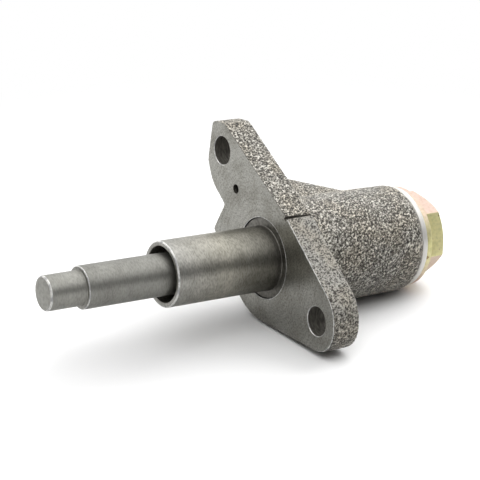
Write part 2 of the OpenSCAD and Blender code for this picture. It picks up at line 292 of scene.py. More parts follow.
# %% [markdown]
# ## Light
# The light comes from a tent of white cloth, dim at the horizon and brightest overhead. Lamps alone could
# light the part, but metal would mirror them as hard squares. So the two softboxes that draw the shadow
# stand behind the cloth, and metal mirrors the cloth. The cloth beyond the part is a plain white backdrop
# for the camera and for metal, and it adds no light to the part.

# %% Light tent and softboxes
tent_low = 0.07
tent_high = 1.34
# upward share of a direction, from the dim horizon to the bright top
tent_spread = (0.0, 0.9)
backdrop_level = 1.0
# how far a direction looks away from the camera, from no backdrop to full backdrop
backdrop_spread = (0.2, 0.8)
softbox_size = 0.75
softbox_distance = 0.85
softboxes = [
    # name, degrees round the part, degrees above the horizon, level
    ("front_softbox", 70, 50, 0.32),
    ("rear_softbox", 190, 48, 0.65),
]


def light_tent():
    """A white tent, brightest overhead, with a backdrop. To the camera it is plain white."""
    world = bpy.data.worlds.new("light_tent")
    world.use_nodes = True
    tree = world.node_tree
    cloth = tree.nodes["Background"]
    cloth.inputs["Color"].default_value = (1, 1, 1, 1)
    towards = add_node(tree, "ShaderNodeTexCoord", {}).outputs["Generated"]
    height = add_node(tree, "ShaderNodeSeparateXYZ", {0: towards}).outputs["Z"]
    level = remap(tree, height, tent_spread, (tent_low, tent_high), smooth=True)
    away = direction(camera_turn + math.pi, 0)
    behind = add_node(tree, "ShaderNodeVectorMath", {0: towards, 1: away}, operation="DOT_PRODUCT")
    backdrop = remap(tree, behind.outputs["Value"], backdrop_spread, (0.0, backdrop_level), smooth=True)
    shown = math_of(tree, "MULTIPLY", backdrop, seen_rays(tree))
    tree.links.new(math_of(tree, "MAXIMUM", level, shown), cloth.inputs["Strength"])
    white = add_node(tree, "ShaderNodeBackground", {"Color": (1, 1, 1, 1), "Strength": 1.0}).outputs[0]
    to_camera = add_node(tree, "ShaderNodeLightPath", {}).outputs["Is Camera Ray"]
    mixed = add_node(tree, "ShaderNodeMixShader", {0: to_camera, 1: cloth.outputs[0], 2: white}).outputs[0]
    tree.links.new(mixed, tree.nodes["World Output"].inputs["Surface"])
    return world


def softbox(name, turn, rise, level):
    """A square area light aimed at the part, behind the tent's cloth, so that metal mirrors the cloth."""
    lamp = bpy.data.lights.new(name, "AREA")
    lamp.size = softbox_size
    lamp.energy = level * (math.pi * softbox_distance) ** 2
    box = bpy.data.objects.new(name, lamp)
    towards = direction(math.radians(turn), math.radians(rise))
    box.location = towards * softbox_distance
    box.rotation_euler = towards.to_track_quat("Z", "Y").to_euler()
    box.visible_glossy = False
    scene.collection.objects.link(box)
    return box


scene.world = light_tent()
for settings in softboxes:
    softbox(*settings)
print(f"light tent from {tent_low} at the horizon to {tent_high} overhead, with {len(softboxes)} softboxes")

# %% [markdown]
# ## Dark card
# Bright metal shows what stands around it, so a dark card on the camera's side draws the dark bands along
# the cylinders. The bands could be painted on, but then they would turn with the part. The camera looks
# through the card, as photographers do who shoot through a hole in black card.

# %% Dark card
card_from = math.radians(-5)
card_to = math.radians(132)
card_radius = 0.34
card_foot = 0.03
card_height = 0.26
card_fade = 0.08
card_grey = 0.045
card_edge_grey = 0.9
card_steps = 24


def dark_card():
    """A sheet bent round the camera's side, dark below and fading to white at its upper edge."""
    points = []
    for i in range(card_steps + 1):
        foot = direction(card_from + (card_to - card_from) * i / card_steps, 0) * card_radius
        points += [foot - Vector((0, 0, card_foot)), foot + Vector((0, 0, card_height))]
    faces = [(2 * i, 2 * i + 2, 2 * i + 3, 2 * i + 1) for i in range(card_steps)]
    card = mesh_piece("dark_card", points, faces)
    material, tree, shader, place = start_finish("dark_card", 0.0, 0.9)
    upwards = add_node(tree, "ShaderNodeSeparateXYZ", {0: place}).outputs["Z"]
    fade = remap(tree, upwards, (card_fade, card_height), (card_grey, card_edge_grey))
    tree.links.new(fade, shader.inputs["Base Color"])
    card.data.materials.append(material)
    card.visible_camera = False
    return card


dark_card()
print("dark card round the camera's side")

# %% [markdown]
# ## Turned parts
# Sleeve, plunger, washer and plug all come off a lathe. Blender's Screw modifier could turn an outline,
# but writing the rings directly keeps the outline as a short list of corners, each with its own rounding.
# No real edge is a knife edge: the small arcs are what catch the light as thin bright lines.

# %% Lathe
same_place = 1e-7


def arc_at(before, here, after, rounding, steps=6):
    """Points of the arc that rounds a corner between its two neighbours."""
    if rounding == 0:
        return [here]
    u = (before - here).normalized()
    v = (after - here).normalized()
    half = u.angle(v) / 2
    centre = here + (u + v).normalized() * rounding / math.sin(half)
    start = here + u * rounding / math.tan(half) - centre
    turn = start.angle_signed(here + v * rounding / math.tan(half) - centre)
    return [centre + Matrix.Rotation(-turn * i / steps, 2) @ start for i in range(steps + 1)]


def rounded(corners):
    """Closed outline in mm through corners given as (x, radius, rounding)."""
    places = [Vector(corner[:2]) for corner in corners]
    outline = []
    for i, corner in enumerate(corners):
        outline += arc_at(places[i - 1], places[i], places[(i + 1) % len(places)], corner[2])
    return outline


def weld(piece):
    """Merges points that share a place and turns all faces outwards."""
    work = bmesh.new()
    work.from_mesh(piece.data)
    bmesh.ops.remove_doubles(work, verts=work.verts, dist=same_place)
    bmesh.ops.recalc_face_normals(work, faces=work.faces)
    work.to_mesh(piece.data)
    work.free()
    return piece


def turned(name, outline, sides=160, thread=None):
    """Turns an outline about the plunger's axis. A thread changes the radius along and round the part."""
    points = []
    for i in range(sides):
        angle = 2 * math.pi * i / sides
        for x, radius in outline:
            r = radius if thread is None else thread(x, radius, angle)
            points.append(Vector((x, r * math.cos(angle), r * math.sin(angle))) * mm)
    n = len(outline)
    faces = []
    for i in range(sides):
        a, b = i * n, (i + 1) % sides * n
        faces += [(a + k, a + (k + 1) % n, b + (k + 1) % n, b + k) for k in range(n)]
    return weld(mesh_piece(name, points, faces))


def shade(piece, sharp=35):
    """Smooth shading, apart from edges that bend more sharply than the given degrees."""
    piece.data.shade_smooth()
    piece.data.set_sharp_from_angle(angle=math.radians(sharp))


def dress(piece, node, finish, body="base"):
    """Puts a finished piece in the place of its node."""
    if finish is not None:
        piece.data.materials.clear()
        piece.data.materials.append(finish)
    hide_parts(node)
    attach(piece, body)
    print(f"{piece.name}: {len(piece.data.polygons)} faces")


def paint_edge_band(piece, finish, along, radii):
    """Gives a second finish, the painted edge highlight, to the faces of a turned piece within a span along
    the axis and of radius.
    """
    piece.data.materials.append(finish)
    highlighted = 0
    for face in piece.data.polygons:
        x, y, z = face.center / mm
        if along[0] < x < along[1] and radii[0] < math.hypot(y, z) < radii[1]:
            face.material_index = len(piece.data.materials) - 1
            highlighted += 1
    print(f"{piece.name}: {highlighted} faces rubbed bright")


print("lathe is ready")

# %% [markdown]
# ## Ground and turned steel
# The sleeve is ground and the plunger is turned, and both have a dull satin look: fine rings round the
# axis that blur what they mirror, and faint stains. Their edges carry a painted highlight with some real
# wear, and a ramp along the axis paints shade onto the sleeve next to the casting and light onto the
# plunger's tip. A flat metal colour would look like a rendering of chrome, so colour and roughness both
# wander.

# %% Steel finish
def satin_steel(name, colour, stain, roughness, contrast, span, shaded):
    """Steel whose tone wanders, multiplied by a ramp between two stations of the axis in mm, which paints
    shade, light and tint along it.
    """
    material, tree, shader, place = start_finish(name, 1.0, roughness)
    rings = speckle(tree, place, 0.3, 2.0, stretch=(1, 40, 40))
    scuffs = speckle(tree, place, 0.36, 4.0, stretch=(1, 3, 3))
    clouds = speckle(tree, place, 5.0, 3.0)
    tone = ramp(tree, clouds, [(0.32, stain), (0.62, colour)])
    marks = ramp(tree, scuffs, [(0.34, grey(1 - contrast)), (0.6, grey(1.0))])
    tone = blend(tree, 1.0, tone, marks, "MULTIPLY")
    # the ramp given as shaded paints shade and light, and a tint, along the axis
    station = add_node(tree, "ShaderNodeSeparateXYZ", {0: place}).outputs["X"]
    along = remap(tree, station, (span[0] * mm, span[1] * mm))
    tone = blend(tree, 1.0, tone, ramp(tree, along, shaded), "MULTIPLY")
    dull = remap(tree, scuffs, (0.3, 0.7), (roughness + 0.05, roughness - 0.04))
    tree.links.new(dull, shader.inputs["Roughness"])
    worked = bump(tree, rings, 0.008, 0.4)
    paint(tree, shader, tone, bump(tree, scuffs, 0.02, contrast, worked))
    return material


def edge_highlight_finish():
    """Edges painted bright in patches: a painted highlight with some real wear."""
    material, tree, shader, place = start_finish("wear_and_painted_highlight", 0.25, 0.42)
    patches = speckle(tree, place, 1.6, 3.0)
    tone = ramp(tree, patches, [(0.36, grey(0.45)), (0.6, (0.96, 0.95, 0.91))])
    paint(tree, shader, tone, bump(tree, patches, 0.03, 0.4))
    return material


# Painted shade darkens the sleeve next to the casting, and heat has left a straw tint further out
painted_shade_and_straw = [
    (0.0, (0.42, 0.41, 0.40)),
    (0.25, (0.62, 0.61, 0.57)),
    (0.55, (1.0, 0.975, 0.90)),
    (1.0, grey(1.0)),
]
# Painted light makes the tip a little brighter than the rod
painted_light_on_tip = [(0.0, grey(0.86)), (1.0, grey(1.0))]
sleeve_steel = satin_steel("ground_sleeve_steel", colour=(0.537, 0.527, 0.492), stain=(0.414, 0.407, 0.373),
                           roughness=0.40, contrast=0.34, span=(-2, 36), shaded=painted_shade_and_straw)
plunger_steel = satin_steel("turned_plunger_steel", colour=(0.462, 0.457, 0.422), stain=(0.39, 0.385, 0.352),
                            roughness=0.46, contrast=0.2, span=(63.0, 63.8), shaded=painted_light_on_tip)
# painted highlight for edges, with some real wear
painted_edge_highlight = edge_highlight_finish()
print("steel finishes:", sleeve_steel.name, plunger_steel.name)

# %% [markdown]
# ## Guide sleeve
# A tube with a collar at the casting's face. Its mouth has a rounded lip outside and a small one inside,
# and a groove in its bore holds the ring that stops the plunger. Two cylinders and a boolean would give
# the same tube, but each lip would need a bevel of its own. As one turned outline it has them already.

# %% Sleeve
sleeve_low, sleeve_high = [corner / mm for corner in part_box("guide_sleeve")]
ring_low, ring_high = [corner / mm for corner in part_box("stop_ring")]
sleeve_r = 10.0
sleeve_bore_r = 8.45
collar_r = sleeve_high.y
collar_front = -0.4
collar_rear = -3.2
groove_r = ring_high.y + 0.05
groove_gap = 0.05
# width of the band of painted highlight on the sleeve's lip
lip_highlight_band = 0.45

sleeve = turned("sleeve", rounded([
    (sleeve_low.x, sleeve_bore_r, 0.2),
    (sleeve_low.x, sleeve_r, 0.5),
    (collar_rear, sleeve_r, 0),
    (collar_rear, collar_r, 0.15),
    (collar_front, collar_r, 0.1),
    (collar_front, sleeve_r, 0.3),
    (sleeve_high.x, sleeve_r, 0.6),
    (sleeve_high.x, sleeve_bore_r, 0.4),
    (ring_high.x + groove_gap, sleeve_bore_r, 0),
    (ring_high.x + groove_gap, groove_r, 0),
    (ring_low.x - groove_gap, groove_r, 0),
    (ring_low.x - groove_gap, sleeve_bore_r, 0),
]))
shade(sleeve)
dress(sleeve, "guide_sleeve", sleeve_steel)
# painted highlight on the lip of the sleeve's mouth
paint_edge_band(sleeve, painted_edge_highlight, (sleeve_high.x - lip_highlight_band, sleeve_high.x), (sleeve_r - lip_highlight_band, sleeve_r))

# %% [markdown]
# ## Plunger
# One turned bar: a thin tip with a well rounded end, a shoulder, the rod, and inside the sleeve a wider
# head. It is bored from behind for the spring. Stacked cylinders would leave seams where one meets the
# next, and a real bar has none, so it is one outline too. Its end and its shoulder get a painted highlight.

# %% Plunger
plunger_low, plunger_high = [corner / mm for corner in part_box("plunger")]
head_r = plunger_high.y
rod_r = 6.4
tip_r = 5.2
shoulder = 63.4
head_front = ring_low.x
spring_bore_r = 5.0
spring_bore_end = 40.0
# widths of the bands of painted highlight on the shoulder and on the tip
shoulder_highlight_band = 0.3
tip_highlight_band = 0.5

plunger = turned("plunger_bar", rounded([
    (plunger_high.x, 0, 0),
    (plunger_high.x, tip_r, 0.7),
    (shoulder, tip_r, 0.25),
    (shoulder, rod_r, 0.4),
    (head_front, rod_r, 0.2),
    (head_front, head_r, 0.4),
    (plunger_low.x, head_r, 0.5),
    (plunger_low.x, spring_bore_r, 0.4),
    (spring_bore_end, spring_bore_r, 0.2),
    (spring_bore_end, 0, 0),
]))
shade(plunger)
dress(plunger, "plunger", plunger_steel, "plunger")
# painted highlight on the plunger's shoulder and on the rim of its tip
paint_edge_band(plunger, painted_edge_highlight, (shoulder - shoulder_highlight_band, shoulder), (rod_r - shoulder_highlight_band, rod_r))
paint_edge_band(plunger, painted_edge_highlight, (plunger_high.x - tip_highlight_band, plunger_high.x), (tip_r - tip_highlight_band, tip_r))

# %% [markdown]
# ## The casting, first rough
# The housing is made here in the order in which a foundry makes it: a rough blank first, then machining.
# Bump in a material would be quicker, but the outline would stay smooth as glass. So the solid is copied,
# its holes are filled, and stock is left on the face. A voxel remesh then gives it an even net of small
# faces, a little smoothing rounds every edge as sand does, and the grain pushes the net in and out.

# %% Blank with filled holes
flange_t = 9.6
face_stock = 1.4
barrel_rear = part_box("housing")[0].x / mm
upper_hole = (-22.4, 29.9)
lower_hole = (28.3, -13.3)
mounts = {mount["name"]: mount for mount in frame["record"]["mounts"]}
oil_hole = tuple(c / mm for c in mounts["oil_feed"]["pos_m"][1:])
bolt_hole_r = 4.5
oil_hole_r = 1.5
oil_hole_depth = 6.0
drill_r = 1.3
drilling_front = -5.1
drilling_rear = -38.5
chamber_r = 12.0
chamber_front = -35.0
# how far fillings reach past their holes, where those of the oil holes begin, and the depth of the face
bolt_fill = 0.3
chamber_fill = 1.2
oil_fill = 0.8
oil_fill_rear = -7
drilling_fill_front = -4
face_band = 0.1


def rod(name, radius, start, end, sides=64):
    """A round bar between two points in mm."""
    start, end = Vector(start), Vector(end)
    work = bmesh.new()
    bmesh.ops.create_cone(work, cap_ends=True, segments=sides, radius1=radius * mm, radius2=radius * mm,
                          depth=(end - start).length * mm)
    turn = (end - start).to_track_quat("Z", "Y").to_matrix().to_4x4()
    work.transform(Matrix.Translation((start + end) / 2 * mm) @ turn)
    mesh = bpy.data.meshes.new(name)
    work.to_mesh(mesh)
    work.free()
    return new_piece(name, mesh)


def across(x, place):
    """A point at a station x and a place (y, z) across the face."""
    return (x, place[0], place[1])


# The oil drilling slants from the foot of the oil hole into the chamber behind the sleeve
drilling_start = across(drilling_front, oil_hole)
drilling_end = across(drilling_rear, [c * (chamber_r - drill_r) / math.hypot(*oil_hole) for c in oil_hole])


def rough_blank():
    """A copy of the housing with stock left on its face and its holes filled."""
    work = bmesh.new()
    work.from_mesh(frame["nodes"]["housing"].data)
    for vertex in work.verts:
        if vertex.co.x > -face_band * mm:
            vertex.co.x += face_stock * mm
    fillings = [rod("fill", bolt_hole_r + bolt_fill, across(-flange_t, p), across(face_stock, p))
                for p in (upper_hole, lower_hole)]
    fillings += [
        rod("fill", chamber_r + chamber_fill, (barrel_rear, 0, 0), (face_stock, 0, 0)),
        rod("fill", oil_hole_r + oil_fill, across(oil_fill_rear, oil_hole), across(face_stock, oil_hole)),
        rod("fill", drill_r + oil_fill, across(drilling_fill_front, oil_hole), drilling_end),
    ]
    for filling in fillings:
        work.from_mesh(filling.data)
        bpy.data.objects.remove(filling)
    mesh = bpy.data.meshes.new("casting")
    work.to_mesh(mesh)
    work.free()
    return new_piece("casting", mesh)


casting = rough_blank()
print("blank:", len(casting.data.vertices), "points")

# %% Even net and sand-cast edges
net_size = 0.36
sand_softness = 0.5
sand_rounding = 16


def set_modifiers(piece):
    """Applies all modifiers of a piece to its mesh."""
    bpy.context.view_layer.update()
    seen = piece.evaluated_get(bpy.context.evaluated_depsgraph_get())
    mesh = bpy.data.meshes.new_from_object(seen)
    piece.modifiers.clear()
    piece.data = mesh


def keep_largest_shell(piece):
    """Deletes loose inner shells and says how many there were."""
    work = bmesh.new()
    work.from_mesh(piece.data)
    left = set(work.verts)
    shells = []
    while left:
        shell = set()
        front = [left.pop()]
        while front:
            vertex = front.pop()
            shell.add(vertex)
            for edge in vertex.link_edges:
                other = edge.other_vert(vertex)
                if other in left:
                    left.remove(other)
                    front.append(other)
        shells.append(shell)
    shells.sort(key=len)
    for shell in shells[:-1]:
        bmesh.ops.delete(work, geom=list(shell), context="VERTS")
    work.to_mesh(piece.data)
    work.free()
    return len(shells) - 1


remesh = casting.modifiers.new("net", "REMESH")
remesh.mode = "VOXEL"
remesh.voxel_size = net_size * mm
set_modifiers(casting)
print("inner shells removed:", keep_largest_shell(casting))
soften = casting.modifiers.new("sand", "SMOOTH")
soften.factor = sand_softness
soften.iterations = sand_rounding
set_modifiers(casting)
print("net:", len(casting.data.vertices), "points")

# %% [markdown]
# ## Grain of the casting
# Shot-blasted iron is a field of small lumps with dark pits between them, about a millimetre apart. The
# grain is worked out once for each point and used twice: it moves the point, and it is stored with it,
# so that the finish can darken exactly those places that lie deep. Under the witness notch the side of
# the flange was ground: there the lumps are cut off level, and only the pits are left.

# %% Grain
grain_depth = 0.15
lump_size = 0.52
lump_weight = 1.25
fine_share = 0.52
fine_weight = 0.7
fine_offset = Vector((31, 17, 5))
skin_sink = 0.3
notch_angle = math.radians(50)
barrel_r = 17.2
# the ground side: level of the grinding, and where it fades at the barrel, notch, foot and flange's rear
ground_height = -0.15
ground_off_barrel = (1.0, 1.6)
ground_at_notch = 0.02
ground_foot = -0.55
ground_rear = (-0.2, 0.4)


def smooth_step(low, high, value):
    """0 at low, 1 at high, and a soft curve between."""
    t = min(1.0, max(0.0, (value - low) / (high - low)))
    return t * t * (3 - 2 * t)


def ground_side(point):
    """1 on the ground side of the flange below the notch, 0 elsewhere. The point is in mm."""
    angle = math.atan2(point.z, point.y)
    from_axis = math.hypot(point.y, point.z)
    beside_barrel = smooth_step(barrel_r + ground_off_barrel[0], barrel_r + ground_off_barrel[1], from_axis)
    below_notch = smooth_step(notch_angle, notch_angle - ground_at_notch, angle)
    above_foot = smooth_step(ground_foot, 0.0, angle)
    on_flange = smooth_step(-flange_t + ground_rear[0], -flange_t + ground_rear[1], point.x)
    return beside_barrel * below_notch * above_foot * on_flange


def grain_at(point):
    """Height of the grain from about -1 in a pit to 1 on a lump."""
    lumps = noise.noise(point / lump_size)
    fine = noise.noise(point / (lump_size * fine_share) + fine_offset)
    height = lump_weight * lumps + fine_weight * fine
    return max(-1.0, min(1.0, height))


def add_grain(piece):
    """Moves each point by its grain along its normal, and stores the grain with the point."""
    normals = [vertex.normal.copy() for vertex in piece.data.vertices]
    heights, places, grounds = [], [], []
    for vertex, normal in zip(piece.data.vertices, normals):
        point = vertex.co / mm
        height = grain_at(point)
        ground = ground_side(point)
        ground_off = max(0.0, height - ground_height) * ground
        places.extend(vertex.co + normal * (height - ground_off - skin_sink) * grain_depth * mm)
        heights.append(0.5 + 0.5 * height)
        grounds.append(ground)
    piece.data.vertices.foreach_set("co", places)
    for name, values in (("grain", heights), ("ground", grounds)):
        piece.data.attributes.new(name, "FLOAT", "POINT").data.foreach_set("value", values)
    piece.data.update()
    return min(heights), max(heights)


print("grain from %.2f to %.2f" % add_grain(casting))

# %% [markdown]
# ## Iron finishes
# The skin takes its light and dark from the stored grain, with finer specks between, and a warm brown
# cast in patches where it has begun to tarnish. One grey for all of the iron would be simpler, but it
# would hide which faces were cut. The machined face is bare grey metal: rings from the facing cutter, and
# the grey flakes that iron shows where it is cut.

# %% Iron
def cast_skin():
    """Skin of the casting: pale lumps and dark pits, or level grey where it was ground."""
    material, tree, shader, place = start_finish("cast_iron_skin", 0.15, 0.62)
    shader.inputs["Sheen Weight"].default_value = 0.27
    shader.inputs["Sheen Roughness"].default_value = 0.5
    grain = add_node(tree, "ShaderNodeAttribute", {}, attribute_name="grain").outputs["Fac"]
    ground = add_node(tree, "ShaderNodeAttribute", {}, attribute_name="ground").outputs["Fac"]
    specks = speckle(tree, place, 0.42, 2.0)
    coarse = math_of(tree, "MULTIPLY", grain, 0.45)
    fine = math_of(tree, "MULTIPLY", specks, 0.55)
    height = math_of(tree, "ADD", coarse, fine)
    lumps = ramp(tree, height, [
        (0.37, (0.014, 0.011, 0.008)),
        (0.46, (0.101, 0.092, 0.073)),
        (0.55, (0.322, 0.306, 0.266)),
        (0.67, (0.813, 0.786, 0.717)),
    ])
    level = ramp(tree, height, [
        (0.39, (0.031, 0.027, 0.021)),
        (0.47, (0.23, 0.221, 0.196)),
        (0.6, (0.414, 0.402, 0.365)),
    ])
    tone = blend(tree, ground, lumps, level)
    tarnish = ramp(tree, speckle(tree, place, 9.0, 1.0), [(0.42, (1, 1, 1)), (0.66, (1.0, 0.96, 0.90))])
    tone = blend(tree, 1.0, tone, tarnish, "MULTIPLY")
    paint(tree, shader, tone, bump(tree, specks, 0.3, 0.9))
    return material


def machined_iron():
    """Bare cut iron: rings from the facing cutter, and grey flakes."""
    material, tree, shader, place = start_finish("machined_iron", 1.0, 0.34)
    cutter = {"Vector": place, "Scale": 170.0, "Distortion": 4.0, "Detail": 3.0}
    wave = add_node(tree, "ShaderNodeTexWave", cutter, wave_type="RINGS", rings_direction="X")
    rings = wave.outputs["Fac"]
    flakes = speckle(tree, place, 0.55, 3.0)
    clouds = speckle(tree, place, 7.0, 4.0)
    tone = ramp(tree, flakes, [(0.32, (0.277, 0.273, 0.248)), (0.6, (0.506, 0.498, 0.458))])
    stains = ramp(tree, clouds, [(0.3, (0.74, 0.73, 0.70)), (0.6, grey(1.0))])
    tone = blend(tree, 1.0, tone, stains, "MULTIPLY")
    lines = ramp(tree, rings, [(0.2, grey(0.92)), (0.7, grey(1.0))])
    tone = blend(tree, 1.0, tone, lines, "MULTIPLY")
    dull = remap(tree, clouds, (0.3, 0.7), (0.40, 0.28))
    tree.links.new(dull, shader.inputs["Roughness"])
    cut = bump(tree, rings, 0.015, 0.25)
    paint(tree, shader, tone, bump(tree, flakes, 0.01, 0.3, cut))
    return material


def drilled_iron_painted_shade():
    """Rough walls of drilled holes and of the sawn notch, painted dark as the shade inside them."""
    material, tree, shader, place = start_finish("drilled_iron_painted_shade", 0.6, 0.6)
    grooves = speckle(tree, place, 0.5, 3.0, stretch=(1, 4, 4))
    tone = ramp(tree, grooves, [(0.3, (0.077, 0.072, 0.061)), (0.7, (0.215, 0.203, 0.177))])
    paint(tree, shader, tone, bump(tree, grooves, 0.06, 0.5))
    return material


cast_iron = cast_skin()
bare_iron = machined_iron()
dark_iron = drilled_iron_painted_shade()
casting.data.materials.append(cast_iron)
print("iron finishes:", cast_iron.name, bare_iron.name, dark_iron.name)

# %% [markdown]
# ## Machining
# Each cut below is a tool that a machinist would use, as a solid: a facing cutter, drills with a small
# countersink, one stepped boring bar, and a thin wheel for the witness notch. The holes could be left open
# in the blank, but then sand would have rounded their rims. A boolean takes each tool out of the casting.
# The tool carries the finish that it leaves on the faces it cuts: bare, dark with painted shade, or bright
# with a painted highlight.

# %% Cutting
needle = 0.001 * mm


def combine(piece, tool, operation="DIFFERENCE"):
    """Cuts a tool out of a piece, or joins it, and removes the tool."""
    step = piece.modifiers.new("tool", "BOOLEAN")
    step.operation = operation
    step.solver = "MANIFOLD"
    step.material_mode = "TRANSFER"
    step.object = tool
    set_modifiers(piece)
    bpy.data.objects.remove(tool)


def clear_needles(piece):
    """Merges the needle-thin faces that a cut leaves where two surfaces nearly touch."""
    work = bmesh.new()
    work.from_mesh(piece.data)
    bmesh.ops.remove_doubles(work, verts=work.verts, dist=needle)
    bmesh.ops.dissolve_degenerate(work, dist=needle, edges=work.edges)
    bmesh.ops.triangulate(work, faces=[f for f in work.faces if len(f.verts) > 4])
    fins = [f for f in work.faces if sum(set(g.verts) == set(f.verts) for g in f.edges[0].link_faces) > 1]
    bmesh.ops.delete(work, geom=fins, context="FACES")
    work.to_mesh(piece.data)
    work.free()


print("cuts closer than", needle / mm, "mm are merged")

# %% Tools
# All tools run past the faces they cut, so that no thin film of iron is left
overrun = 1
cutter_reach = 60
cutter_depth = 9
countersink = 0.2
hole_end = -flange_t - 2
counterbore_r = 12.6
# width and depth of the ring of painted highlight round the counterbore
counterbore_highlight = 0.22
counterbore_highlight_depth = 0.03
bar_front = 2
bore_gap = 0.02
# station, half width and distance of the foot from the axis, at both ends of the notch
notch_ends = [(1.0, 0.55, 18.3), (-8.8, 0.25, 18.9)]
notch_reach = 22
edge_chamfer = 0.22
edge_bend_r = 19.6
edge_end = math.radians(-46)
at_face = 0.001
hole_clear = 1


def block(name, low, high):
    """A plain block between two corners in mm."""
    points = []
    for x in (low[0], high[0]):
        for y in (low[1], high[1]):
            points += [Vector((x, y, z)) * mm for z in (low[2], high[2])]
    faces = [(0, 1, 3, 2), (4, 6, 7, 5), (0, 4, 5, 1), (2, 3, 7, 6), (0, 2, 6, 4), (1, 5, 7, 3)]
    return weld(mesh_piece(name, points, faces))


def moved(piece, place):
    """Shifts a tool made on the axis to a place across the face."""
    piece.data.transform(Matrix.Translation(Vector(across(0, place)) * mm))
    return piece


def sunk(radius, sink):
    """A 45 degree countersink at the face for a hole of the given radius."""
    mouth_r = radius + sink + overrun
    return turned("countersink", [(-sink, 0), (-sink, radius), (overrun, mouth_r), (overrun, 0)], 72)


def boring_bar():
    """Counterbore for the collar, bore for the sleeve, and the threaded chamber behind it."""
    bore_r = sleeve_r + bore_gap
    bar_rear = barrel_rear - overrun
    return turned("bar", [
        (bar_front, 0), (bar_front, counterbore_r), (collar_rear, counterbore_r),
        (collar_rear, bore_r), (chamber_front, bore_r), (chamber_front, chamber_r),
        (bar_rear, chamber_r), (bar_rear, 0)], 128)


def notch_wheel():
    """A wedge that leaves a notch wide at the face and narrow towards the rear."""
    out = Vector((0, math.cos(notch_angle), math.sin(notch_angle)))
    along = Vector((0, -out.z, out.y))
    points = []
    for x, half_width, foot in notch_ends:
        for reach, side in ((foot, -1), (foot, 1), (notch_reach, 1), (notch_reach, -1)):
            points.append((Vector((x, 0, 0)) + out * reach + along * side * half_width) * mm)
    faces = [(0, 1, 2, 3), (4, 7, 6, 5), (0, 4, 5, 1), (1, 5, 6, 2), (2, 6, 7, 3), (3, 7, 4, 0)]
    return weld(mesh_piece("wheel", points, faces))


def edge_cutter():
    """Chamfer along the face's edge, from the notch down and round the lower lobe."""
    rim = {}
    for vertex in frame["nodes"]["housing"].data.vertices:
        x, y, z = vertex.co / mm
        angle = math.atan2(z, y)
        off_hole = math.dist((y, z), lower_hole) > bolt_hole_r + hole_clear
        off_barrel = math.hypot(y, z) > barrel_r
        if abs(x) < at_face and off_hole and off_barrel and edge_end < angle < 0:
            rim[round(angle, 4)] = Vector((0, y, z))
    bend = Vector((0, math.cos(notch_angle), math.sin(notch_angle))) * edge_bend_r
    path = [bend] + [rim[angle] for angle in sorted(rim, reverse=True)]
    points = []
    for i, here in enumerate(path):
        step = (path[min(i + 1, len(path) - 1)] - path[max(i - 1, 0)]).normalized()
        out = Vector((0, -step.z, step.y))
        deep = -edge_chamfer - overrun
        for x, off in ((deep, overrun), (overrun, deep), (overrun, overrun)):
            points.append((here + out * off + Vector((x, 0, 0))) * mm)
    faces = [(0, 1, 2), tuple(3 * (len(path) - 1) + k for k in (2, 1, 0))]
    for i in range(len(path) - 1):
        a, b = 3 * i, 3 * i + 3
        faces += [(a + k, b + k, b + (k + 1) % 3, a + (k + 1) % 3) for k in range(3)]
    return weld(mesh_piece("edge_cutter", points, faces))


def facing_cutter(rear, front):
    """A block as wide as the casting between two stations."""
    return block("facing_cutter", (rear, -cutter_reach, -cutter_reach), (front, cutter_reach, cutter_reach))


def drill(radius, rear, place, sides):
    """A drill that goes in through the face at a place across it."""
    return rod("drill", radius, across(rear, place), across(overrun, place), sides)


def highlight_ring():
    """A shallow disc that leaves a thin ring of painted highlight round the counterbore."""
    radius = counterbore_r + counterbore_highlight
    return rod("highlight_ring", radius, (-counterbore_highlight_depth, 0, 0), (overrun, 0, 0), 128)


print("countersinks of", countersink, "mm and an edge chamfer of", edge_chamfer, "mm")

# %% Machine the casting
tools = [
    (bare_iron, facing_cutter(0, cutter_depth)),
    (bare_iron, facing_cutter(barrel_rear - cutter_depth, barrel_rear)),
    # the chamfers, countersinks and the ring round the counterbore get a painted highlight
    (painted_edge_highlight, edge_cutter()),
    (painted_edge_highlight, moved(sunk(bolt_hole_r, countersink), upper_hole)),
    (painted_edge_highlight, moved(sunk(bolt_hole_r, countersink), lower_hole)),
    (painted_edge_highlight, highlight_ring()),
    # drilled holes and the notch are painted dark as the shade inside them
    (dark_iron, drill(bolt_hole_r, hole_end, upper_hole, 72)),
    (dark_iron, drill(bolt_hole_r, hole_end, lower_hole, 72)),
    (bare_iron, boring_bar()),
    (dark_iron, drill(oil_hole_r, -oil_hole_depth, oil_hole, 48)),
    (dark_iron, rod("slanted_drill", drill_r, drilling_start, drilling_end, 48)),
    (dark_iron, notch_wheel()),
]
for finish, tool in tools:
    tool.data.materials.append(finish)
    combine(casting, tool)
print("machined casting:", len(casting.data.polygons), "faces,", len(casting.data.materials), "finishes")

# %% Shade the casting
corner_angle = 0.5


def shade_casting(piece):
    """Smooth grain, with a clean line wherever machined metal meets the skin or turns a corner."""
    piece.data.shade_smooth()
    work = bmesh.new()
    work.from_mesh(piece.data)
    for edge in work.edges:
        faces = edge.link_faces
        if len(faces) == 2:
            cut = [f.material_index for f in faces]
            edge.smooth = cut[0] == cut[1] and (cut[0] == 0 or edge.calc_face_angle(0) < corner_angle)
    work.to_mesh(piece.data)
    work.free()


clear_needles(casting)
shade_casting(casting)
dress(casting, "housing", None)

# %% [markdown]
# ## Sealing washer
# A soft aluminium ring, squeezed a little between the barrel and the plug. A torus would be too round for
# it: the sides of a washer are flat and only its rims are soft, so it is turned from four corners.

# %% Washer
washer_low, washer_high = [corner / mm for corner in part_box("sealing_washer")]
washer_bore_r = 12.1


